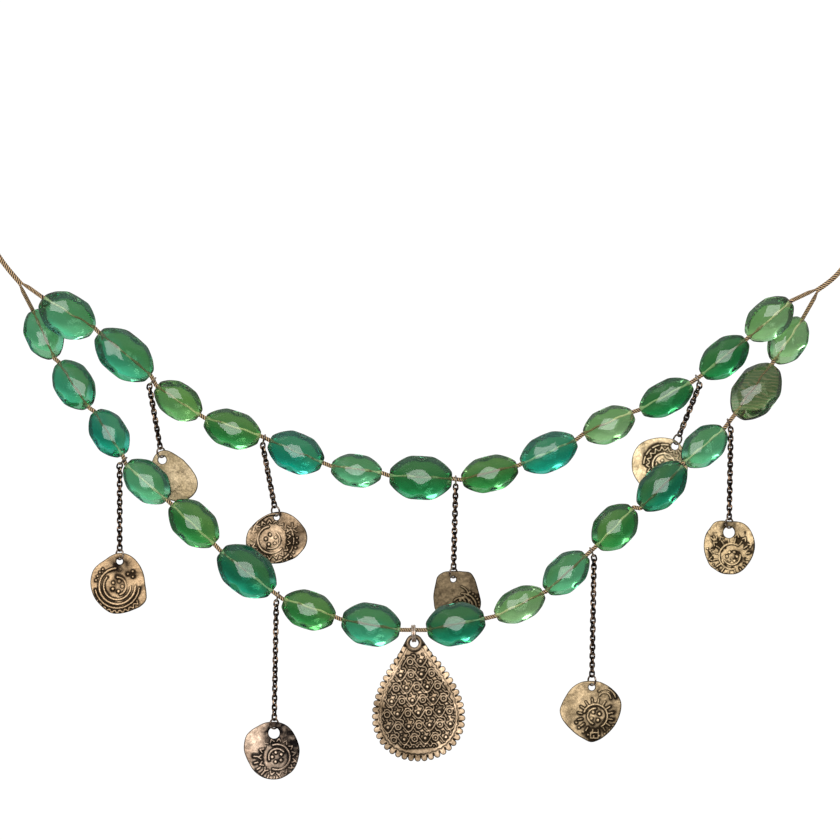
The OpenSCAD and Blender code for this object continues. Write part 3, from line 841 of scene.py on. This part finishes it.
def sheet_triangles(outline, hole, step, rims):
    """Even triangles over a plate with a hole, with extra rows of points at some distances from its
    edges. The points on the outline come first, and then those on the hole."""
    lo, hi = outline.min(0), outline.max(0)
    rows = np.arange(lo[1], hi[1], step * ROW_SHARE)
    grid = []
    for k, z in enumerate(rows):
        xs = np.arange(lo[0] + (step / 2 if k % 2 else 0), hi[0], step)
        grid.append(np.stack([xs, np.full(len(xs), z)], axis=1))
    sets = [(shifted(loop, sign * d), RIM_GAP * d)
            for d in rims for loop, sign in ((outline, -1), (hole, 1))]
    sets.append((np.concatenate(grid), rims[-1] + GRID_GAP * step))
    points = [outline, hole]
    for p, least in sets:
        points.append(p[on_plate(p, outline, hole) & (edge_gap(p, outline, hole) > least)])
    n, m = len(outline), len(hole)
    bounds = [(k, (k + 1) % n) for k in range(n)] + [(n + k, n + (k + 1) % m) for k in range(m)]
    verts, _, faces, origin, _, _ = geometry.delaunay_2d_cdt(
        [Vector(p) for p in np.concatenate(points)], bounds, [], 1, 1e-6)
    back_to = [o[0] if o else -1 for o in origin]
    verts = np.array([list(v) for v in verts])
    order = {}
    for i, o in enumerate(back_to):
        if 0 <= o < n + m:
            order[o] = i
    rest = [i for i in range(len(verts)) if not 0 <= back_to[i] < n + m]
    new = [order[k] for k in range(n + m)] + rest
    where = {old: k for k, old in enumerate(new)}
    verts = verts[new]
    tris = np.array([[where[i] for i in f] for f in faces if len(f) == 3])
    middle = verts[tris].mean(1)
    tris = tris[on_plate(middle, outline, hole)]
    a, b, c = (verts[tris[:, k]] for k in range(3))
    flip = np.cross(b - a, c - a) < 0
    tris[flip] = tris[flip][:, ::-1]
    return verts, tris


def counter_clockwise(loop):
    ahead = np.roll(loop, -1, axis=0)
    return np.sum(loop[:, 0] * ahead[:, 1] - ahead[:, 0] * loop[:, 1]) > 0


def shifted(loop, d):
    """A closed outline moved outward by d (inward where d is negative), for either winding."""
    t = np.roll(loop, -1, axis=0) - np.roll(loop, 1, axis=0)
    t /= np.maximum(np.linalg.norm(t, axis=1), 1e-9)[:, None]
    out = np.stack([t[:, 1], -t[:, 0]], axis=1) * (1 if counter_clockwise(loop) else -1)
    return loop + d * out


def make_plate(name, node, thick, relief, mat, body, edge_r=EDGE_R):
    """A thick plate with rounded edges and a raised front. relief(points) gives the height of the
    front in mm, and at each point how pale its relief is and how dark its patina and painted shade are."""
    loops, back = back_loops(node)
    outline, hole = even_loop(loops[0], PLATE_STEP), even_loop(loops[1], PLATE_STEP)

    def edge_drop(p):
        lack = np.clip(edge_r - edge_gap(p, outline, hole), 0, edge_r)
        return edge_r - np.sqrt(np.maximum(edge_r ** 2 - lack ** 2, 0))

    front, tris = sheet_triangles(outline, hole, PLATE_STEP, RIMS)
    height, shown, patina_and_shade = relief(front)
    drop = edge_drop(front)
    fade = np.clip(1 - drop / edge_r, 0, 1)
    y_front = back - thick - height * fade + drop
    rear, rear_tris = sheet_triangles(outline, hole, PLATE_STEP * REAR_STEPS, RIMS[1:2])
    y_rear = back - edge_drop(rear)
    points = np.concatenate([np.stack([front[:, 0], y_front, front[:, 1]], axis=1),
                             np.stack([rear[:, 0], y_rear, rear[:, 1]], axis=1)])
    k = len(front)
    faces = [tuple(t) for t in tris] + [tuple(t[::-1] + k) for t in rear_tris]
    for base, loop in ((0, outline), (len(outline), hole)):
        for i in range(len(loop)):
            j = (i + 1) % len(loop)
            quad = (base + i, base + j, k + base + j, k + base + i)
            faces.append(quad if counter_clockwise(loop) != (base == 0) else quad[::-1])
    on_rear = np.ones(len(rear))
    return make_piece(name, points, faces, mat, body, [node],
                      attributes={"relief": np.concatenate([shown, REAR_RELIEF * on_rear]),
                                  "patina_and_shade": np.concatenate([patina_and_shade, REAR_PATINA * on_rear])})


def value_noise(p, cell, seed, cells=64, start=20):
    """Smooth noise from 0 to 1 at points in mm, with blobs of about the cell's size. It repeats
    after so many cells."""
    table = np.random.RandomState(seed).rand(cells, cells)
    q = p / cell + start
    i = np.floor(q).astype(int)
    f = smooth(q - i)
    a, b = i[:, 0] % cells, i[:, 1] % cells
    a1, b1 = (a + 1) % cells, (b + 1) % cells
    low = table[a, b] * (1 - f[:, 0]) + table[a1, b] * f[:, 0]
    high = table[a, b1] * (1 - f[:, 0]) + table[a1, b1] * f[:, 0]
    return low * (1 - f[:, 1]) + high * f[:, 1]


# Strokes of ornament are polylines [(x, z), ...] with a width


def arc(cx, cz, r, start, sweep, width=0.5):
    a = np.radians(np.linspace(start, start + sweep, max(4, int(abs(sweep) / 12))))
    return np.stack([cx + r * np.cos(a), cz + r * np.sin(a)], axis=1), width


def dot(cx, cz, r=0.4):
    return np.array([(cx, cz), (cx + 0.01, cz)]), 2 * r


def line(*places, width=0.45):
    return np.reshape(places, (-1, 2)), width


def stroke_height(p, strokes, soft=0.16):
    """1 on the strokes, 0 away from them, and the distance to their nearest edge."""
    best = np.full(len(p), 1e9)
    for path, width in strokes:
        best = np.minimum(best, segment_distance(p, path[:-1], np.diff(path, axis=0)) - width / 2)
    return smooth(np.clip(0.5 - best / soft, 0, 1)), best


def near_to(value, place, width):
    """1 where a value is at a place, down to 0 at a width from it."""
    return np.clip(1 - np.abs(value - place) / width, 0, 1)


def hole_middle(loops):
    return (loops[1].max(0) + loops[1].min(0)) / 2


# How light the bare metal of a front is, and how much blotches, ridges and the dark beside the
# ridges change that
COIN_TONES = (0.46, 0.7, 0.6, 1.05)
PENDANT_TONES = (0.42, 0.4, 0.55, 1.1)


def tone(tones, blot, most, worn, near):
    """How light the metal is at each point, from dark in a hollow to pale on a ridge."""
    bare, blotches, ridges, shade = tones
    return bare + blotches * (blot - 0.5) + ridges * most * worn - shade * near * (1 - most)


COIN_T = 0.9
# Height of a coin's ornament, hammering and grain, and the share of it that fine ornament has
COIN_RELIEF = 0.26
COIN_HAMMER = 0.12
COIN_GRAIN = 0.06
FINE_SHARE = 0.85
# Sizes of the blobs of a coin's wear, hammering and grain
WEAR_CELL = 2.8
HAMMER_CELL = 1.9
GRAIN_CELL = 0.8
# How far the dark beside a stroke spreads, on a coin and on the pendant
COIN_SHADE = 0.36
PENDANT_SHADE = 0.24

# The ornament of each coin, as in its solid: x and z of its middle, radius, turn and dots
COIN_MARKS = [
    (3.0, -5.2, 2.8, 40, 3),
    (-1.4, -5.6, 3.6, 100, 5),
    (1.6, -6.2, 2.6, 200, 3),
    (-2.8, -4.6, 3.0, 20, 4),
    (-0.6, -6.2, 3.6, 140, 5),
    (0.8, -6.0, 3.4, 250, 5),
    (0.9, -7.2, 3.2, 300, 4),
    (0.7, -6.0, 3.4, 60, 6),
]


# Its two arcs, as share of its radius, turn and sweep, how far in their middle line is, and the
# share of the radius where the dots are
MARK_ARCS = ((1.0, 0, 220), (0.68, 150, 160))
ARC_INSET = 0.22
DOTS_AT = 0.36


def mark_strokes(cx, cz, r, turn, dots):
    """Two open arcs, one inside the other, round a ring of dots."""
    strokes = [arc(cx, cz, share * r - ARC_INSET, turn + start, sweep)
               for share, start, sweep in MARK_ARCS]
    for k in range(dots):
        a = math.radians(turn + 360 * k / dots)
        strokes.append(dot(cx + DOTS_AT * r * math.cos(a), cz + DOTS_AT * r * math.sin(a)))
    return strokes


def ring_of(kind, cx, cz, r, count, start=0, sweep=360):
    """Even ornament along a circle: dots, radial bars, pointed leaves or short arcs."""
    out = []
    for k in range(count):
        a = math.radians(start + sweep * (k + 0.5) / count)
        c, s = math.cos(a), math.sin(a)
        x, z = cx + r * c, cz + r * s
        if kind == "dots":
            out.append(dot(x, z, 0.3))
        elif kind == "bars":
            out.append(line(x - 0.45 * c, z - 0.45 * s, x + 0.45 * c, z + 0.45 * s, width=0.42))
        elif kind == "leaves":
            tip = (x + 0.5 * c, z + 0.5 * s)
            for side in (-0.5, 0.5):
                out.append(line(x - 0.3 * c - side * s, z - 0.3 * s + side * c, *tip, width=0.36))
        else:
            long = 0.72 * sweep / count
            out.append(arc(cx, cz, r, math.degrees(a) - long / 2, long, 0.44))
    return out


# The finer ornament of each coin, which only the scene has
COIN_EXTRA = [
    [arc(2.0, -9.4, 2.2, 30, 120, 0.4), arc(2.0, -9.4, 3.0, 40, 100, 0.4)],
    [arc(-0.5, -4.6, 5.5, 78, 92, 0.45), arc(-0.5, -4.6, 6.4, 78, 84, 0.45)]
    + ring_of("leaves", -1.4, -5.6, 4.5, 17) + ring_of("arcs", -1.4, -5.6, 5.7, 9, 190, 200)
    + ring_of("bars", 3.9, -2.9, 0.9, 6) + ring_of("dots", -1.4, -5.6, 6.5, 8, 280, 90),
    [arc(2.4, -7.0, 3.4, 0, 95), arc(2.4, -7.0, 2.5, -10, 110),
     arc(1.0, -4.6, 3.0, 10, 60, 0.45)]
    + ring_of("dots", 2.4, -7.0, 4.2, 6, 0, 70),
    ring_of("leaves", -2.8, -4.6, 3.9, 14, 0, 300) + ring_of("arcs", -2.8, -4.6, 5.0, 6, 20, 160)
    + [arc(-1.0, -1.6, 1.6, 180, 120, 0.45)],
    [arc(-0.6, -6.2, 4.5, 95, 265, 0.55), arc(-0.6, -6.2, 5.5, 190, 165, 0.45)]
    + ring_of("leaves", -0.6, -6.2, 6.4, 9, 215, 110) + ring_of("dots", -0.6, -6.2, 5.5, 4, 125, 45)
    + ring_of("dots", 2.9, -3.2, 0.8, 3),
    ring_of("leaves", 0.8, -6.0, 4.2, 15) + ring_of("bars", 0.8, -6.0, 5.4, 12, 170, 200)
    + [arc(0.4, -5.6, 6.6, 225, 100), arc(0.4, -5.6, 7.3, 235, 80, 0.4)],
    ring_of("bars", 0.9, -7.2, 3.9, 16) + ring_of("dots", 0.9, -7.2, 5.0, 9, 190, 150)
    + [arc(3.2, -2.8, 1.5, 0, 150, 0.45), arc(3.4, -2.9, 2.5, 10, 120, 0.45)]
    + [line(-0.3, -12.7, 1.6, -12.7, 1.6, -11.3, -0.3, -11.3, -0.3, -12.7)],
    ring_of("bars", 0.7, -6.0, 4.1, 16) + ring_of("leaves", 0.7, -6.0, 5.3, 13, 20, 290)
    + ring_of("bars", -3.4, -2.4, 1.0, 3, 60, 90) + ring_of("dots", 0.7, -6.0, 6.4, 10, 150, 240),
]
# How strongly each coin's ornament stands out, from worn to fresh
COIN_FRESH = (0.16, 0.9, 0.75, 0.95, 0.9, 0.95, 0.85, 0.8)

# Colours of each coin's metal: pale, middle and dark
GOLD = ((0.70, 0.56, 0.36), (0.42, 0.32, 0.18), (0.012, 0.007, 0.003))
BRASS = ((0.50, 0.37, 0.21), (0.28, 0.20, 0.105), (0.012, 0.007, 0.003))
SILVER = ((0.45, 0.325, 0.21), (0.175, 0.115, 0.065), (0.010, 0.006, 0.003))
ROSE = ((0.60, 0.455, 0.34), (0.265, 0.18, 0.127), (0.004, 0.003, 0.003))
BRONZE = ((0.52, 0.36, 0.21), (0.25, 0.165, 0.09), (0.009, 0.005, 0.003))
GREY = ((0.17, 0.125, 0.072), (0.062, 0.044, 0.025), (0.010, 0.006, 0.003))
OLIVE = ((0.46, 0.34, 0.20), (0.20, 0.145, 0.08), (0.010, 0.006, 0.003))
PLAIN = ((0.34, 0.265, 0.165), (0.21, 0.16, 0.09), (0.020, 0.012, 0.006))
COIN_METALS = [PLAIN, SILVER, GREY, GOLD, BRONZE, ROSE, OLIVE, BRASS]

# Dark patches of each coin, partly patina and partly painted shade of its slightly bent face: x, z,
# radius and how dark
COIN_PATCHES = [
    ((0, 0, 1.8, 0.35), (2.0, -8.0, 3.0, 0.2)),
    ((5.8, -4.2, 3.4, 0.55), (-3.5, -8.5, 3.0, 0.25), (0, 0, 2.2, 0.5)),
    ((0, -4.5, 5.0, 0.3), (-4.6, -3.0, 2.4, 0.3), (5.0, -2.0, 2.4, 0.3)),
    ((-0.4, -2.6, 2.8, 0.4), (0, 0, 2.0, 0.5)),
    ((0, -0.8, 2.8, 1.1), (0.5, -6.2, 4.2, 0.25), (3.5, -10.5, 4.0, 0.4), (-4.0, -3.5, 1.5, 0.4)),
    ((1.4, -0.4, 4.0, 2.2), (4.6, -2.8, 3.8, 2.0), (2.2, -5.6, 4.4, 0.7), (4.4, -8.6, 3.4, 0.9)),
    ((5.6, -3.0, 4.6, 0.5), (0.6, -12.0, 3.2, 0.9), (0, 0, 2.0, 0.4), (-5.0, -8.6, 2.6, 0.3)),
    ((0, 1.6, 2.6, 0.95), (-4.2, -5.6, 2.6, 0.2), (2.8, -4.0, 2.6, 0.15)),
]


# Share of a patch's radius at which its dark ends. It is full one radius further in
PATCH_END = 1.35


def coin_patina_and_shade(number, q):
    """Where the metal is dark: patina, and painted shade of the coin's slightly bent face."""
    rough = 0.55 + 0.9 * value_noise(q, 1.1, 40 + number)
    dark = np.zeros(len(q))
    # Each patch is partly patina and partly painted shade
    for x, z, r, amount in COIN_PATCHES[number - 1]:
        near = np.clip(PATCH_END - np.hypot(q[:, 0] - x, q[:, 1] - z) / r, 0, 1)
        dark = np.maximum(dark, amount * smooth(near) * rough)
    return np.clip(dark, 0, 1)


def coin_relief(number):
    """What make_plate needs to know of a coin's front: its height, relief, patina and painted shade at
    points.
    """
    origin = hole_middle(back_loops(f"coin_{number}")[0])
    strokes = mark_strokes(*COIN_MARKS[number - 1])
    extra = COIN_EXTRA[number - 1]
    fresh = COIN_FRESH[number - 1]

    def relief(p):
        q = p - origin
        up, gap = stroke_height(q, strokes)
        fine, fine_gap = stroke_height(q, extra)
        gap = np.minimum(gap, fine_gap)
        worn = np.clip(0.25 + 1.1 * value_noise(q, WEAR_CELL, number), 0, 1)
        grain = value_noise(q, GRAIN_CELL, 20 + number) - 0.5
        hammer = COIN_HAMMER * (value_noise(q, HAMMER_CELL, 10 + number) - 0.5) + COIN_GRAIN * grain
        most = np.maximum(up, FINE_SHARE * fine) * fresh
        near = np.exp(-np.clip(gap, 0, None) / COIN_SHADE) * (gap > -0.06) * fresh * worn
        blot = value_noise(q, 3.4, 50 + number) * 0.65 + value_noise(q, 1.0, 60 + number) * 0.35
        shown = tone(COIN_TONES, blot, most, worn, near)
        if number == 8:
            shown = shown + 0.1 + 0.9 * grain
        # Patina and painted shade, lighter on fresh ridges
        patina_and_shade = coin_patina_and_shade(number, q) * (1 - 0.8 * most * worn)
        return COIN_RELIEF * most * worn + hammer, np.clip(shown, 0, 1), patina_and_shade

    return relief


for number in range(1, 9):
    node = f"coin_{number}"
    mat = metal(f"coin_metal_{number}", *COIN_METALS[number - 1])
    coin = make_plate(node + "_struck", node, COIN_T, coin_relief(number), mat, NECKLACE)
    coin.visible_transmission = False

# The pendant's sizes, as in its solid
PENDANT_T = 0.9
PENDANT_W = 21.8
PENDANT_H = 29.4
PENDANT_RELIEF = 0.28
PENDANT_EDGE_R = 0.2
LEAN = math.radians(3.4)
TIP_BLUNT = 0.85
TIP_FILL = 0.794
TIP_ABOVE_HOLE = 0.6
SCALLOPS = 47
FINE_STEPS = 240
ROWS = 7
ROW_FROM = 5.2
ROW_PITCH = 3.2
MOTIF_PITCH = 2.6
MOTIF_R = 0.85
BORDER_INSET = 1.5
BORDER_W = 0.4
# Distances inward from the pendant's edge, and outward from the middle of its eye
NOTCH_END = 0.85
GROOVE_AT = 1.05
BORDER_AT = 1.4
ORNAMENT_FROM = 1.6
EYE_RING_AT = 1.62
EYE_SHADE_AT = 2.1
EYE_BORDER_FROM = 2.0
EYE_ORNAMENT_FROM = 2.2
# How dark the notches, groove and surround of the eye are, and how deep the notches
NOTCH_SHADE = 1.1
GROOVE_SHADE = 0.45
EYE_SHADE = 0.6
NOTCH_DEPTH = 0.15


def teardrop(t):
    """The teardrop without its scallops, from its tip round, measured from its middle height."""
    x = PENDANT_W / 2 / TIP_FILL * np.sin(t) * np.sin(t / 2) ** TIP_BLUNT
    return np.stack([x, PENDANT_H / 2 * np.cos(t)], axis=-1)


def scallop_middles():
    fine = teardrop(np.linspace(0, 2 * math.pi, FINE_STEPS + 1))
    return points_at(fine, run_along(fine)[-1] * np.arange(1, SCALLOPS) / SCALLOPS)


def half_width(z):
    edge = teardrop(np.linspace(0, math.pi, FINE_STEPS + 1))
    return float(np.interp(z, edge[::-1, 1], edge[::-1, 0]))


def pendant_strokes():
    """The solid's rows of rings and dots, with a vine running round them and leaves between rows."""
    strokes, fine = [], []
    for row in range(ROWS):
        z = PENDANT_H / 2 - ROW_FROM - ROW_PITCH * row
        room = half_width(z) - BORDER_INSET - BORDER_W - MOTIF_R
        count = max(0, int(2 * room / MOTIF_PITCH))
        side = (-1) ** row
        for k in range(count + 1):
            x = (k - count / 2) * MOTIF_PITCH
            if (k + row) % 2 == 0:
                strokes.append(arc(x, z, 0.68, 0, 360, 0.36))
            else:
                strokes.append(dot(x, z, 0.42))
        reach = count / 2 * MOTIF_PITCH + 1.9
        xs = np.linspace(-reach, reach, 12 * (count + 2))
        bend = side * 1.32 * np.cos(math.pi * (xs / MOTIF_PITCH + count / 2))
        fine.append((np.stack([xs, z + bend], axis=1), 0.34))
        for k in range(count + 2):
            x = (k - (count + 1) / 2) * MOTIF_PITCH
            up = side * (-1) ** k
            fine.append(arc(x - 0.55, z + 1.15, 0.62, -60, 170, 0.3))
            fine.append(line(x + 0.5, z - 1.5, x + 0.1 * up, z - 0.75, width=0.3))
            fine.append(dot(x + 0.75, z + 1.25, 0.2))
    low = -PENDANT_H / 2 + 2.9
    for x in (-3.4, -1.7, 0, 1.7, 3.4):
        fine += [arc(x, low, 0.7, 0, 180, 0.32), dot(x, low, 0.22)]
    return strokes, fine


def pendant_relief():
    """What make_plate needs to know of the pendant's front: its height, relief, and painted shade
    towards its lower left with dark round its eye.
    """
    loops, _ = back_loops("pendant")
    outline, hole = loops[0], hole_middle(loops)
    c, s = math.cos(LEAN), math.sin(LEAN)
    strokes, fine = pendant_strokes()
    middles = scallop_middles()

    def relief(p):
        q = p - hole
        q = np.stack([q[:, 0] * c + q[:, 1] * s, q[:, 1] * c - q[:, 0] * s], axis=1)
        q[:, 1] += PENDANT_H / 2 - TIP_ABOVE_HOLE
        up, gap = stroke_height(q, strokes, 0.14)
        thin, thin_gap = stroke_height(q, fine, 0.12)
        edge = loop_distance(p, outline)
        eye = np.hypot(*(p - hole).T)
        room = (np.clip((edge - ORNAMENT_FROM) / 0.15, 0, 1)
                * np.clip((eye - EYE_ORNAMENT_FROM) / 0.2, 0, 1))
        border = near_to(edge, BORDER_AT, 0.22) * (eye > EYE_BORDER_FROM)
        up, thin = up * room, thin * room
        gap = np.where(room > 0.5, np.minimum(gap, thin_gap), 1e3)
        nearest, second = np.sort(np.linalg.norm(q[:, None] - middles[None], axis=2), axis=1)[:, :2].T
        notch = np.clip(1 - (second - nearest) / 0.5, 0, 1) * (second < 2.5)
        notch = notch * np.clip((NOTCH_END - edge) / 0.3, 0, 1)
        ring = near_to(eye, EYE_RING_AT, 0.32)
        most = np.maximum.reduce([up, thin * 0.9, 0.4 * border, 0.5 * ring])
        worn = 0.75 + 0.25 * value_noise(q, 3.0, 77)
        hammer = 0.05 * (value_noise(q, 0.9, 78) - 0.5)
        height = PENDANT_RELIEF * most * worn + hammer - NOTCH_DEPTH * notch
        near = np.exp(-np.clip(gap, 0, None) / PENDANT_SHADE) * (gap > -0.07)
        blot = value_noise(q, 2.1, 79) * 0.6 + value_noise(q, 0.8, 80) * 0.4
        shown = tone(PENDANT_TONES, blot, most, worn, near) - NOTCH_SHADE * notch
        shown -= GROOVE_SHADE * near_to(edge, GROOVE_AT, 0.2) * (1 - most)
        shown -= EYE_SHADE * near_to(eye, EYE_SHADE_AT, 0.25)
        # Painted shade: darker towards the lower left, where less light falls; and darker round the eye
        low_left = np.clip((-q[:, 0] - q[:, 1] - 6) / 12, 0, 0.35)
        painted_shade_and_dark_eye = np.maximum(low_left, 0.5 * np.clip((2.9 - eye) / 0.8, 0, 1))
        return height, np.clip(shown, 0, 1), painted_shade_and_dark_eye

    return relief


PENDANT_METAL = ((0.56, 0.41, 0.27), (0.22, 0.151, 0.089), (0.006, 0.004, 0.002))
pendant_mat = metal("pendant_metal", *PENDANT_METAL, rough=0.36, scale=200.0)
make_plate("pendant_plate", "pendant", PENDANT_T, pendant_relief(), pendant_mat, PENDANT,
           PENDANT_EDGE_R)

# The bail and the clasp keep their solids

small_metals = {
    "bail": plain_metal("bright_wire", (0.88, 0.74, 0.62), (0.55, 0.42, 0.33), 0.22, 700.0),
    "clasp": plain_metal("plain_clasp", (0.52, 0.45, 0.34), (0.28, 0.23, 0.17), 0.34, 300.0),
}
for node, obj in nodes.items():
    mat = small_metals.get(node.split("_")[0])
    if mat is not None:
        obj.data.materials.clear()
        obj.data.materials.append(mat)
